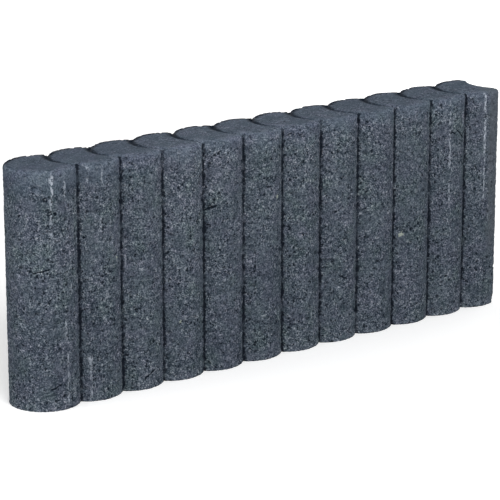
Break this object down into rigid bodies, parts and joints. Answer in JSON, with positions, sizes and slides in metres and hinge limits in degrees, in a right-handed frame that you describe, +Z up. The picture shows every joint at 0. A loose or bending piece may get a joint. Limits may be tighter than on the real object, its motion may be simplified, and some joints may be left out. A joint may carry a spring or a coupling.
{
  "type": "concrete palisade edging",
  "caption": "Pressed concrete garden edging unit shaped as a row of fused round columns, with a rounded nose at one end and a matching socket at the other.",
  "frame": {"origin": "centre of the bounding box, on the base face", "axes": "+X along the row towards the socket end, +Y across the thickness, +Z up from the base to the top"},
  "size_m": [0.5066, 0.06, 0.2],
  "materials": {
    "anthracite_concrete": "matte through-coloured pressed concrete with a fine open grain, smoother on top"
  },
  "bodies": {
    "root": {"palisade_band": "anthracite_concrete"}
  },
  "joints": []
}
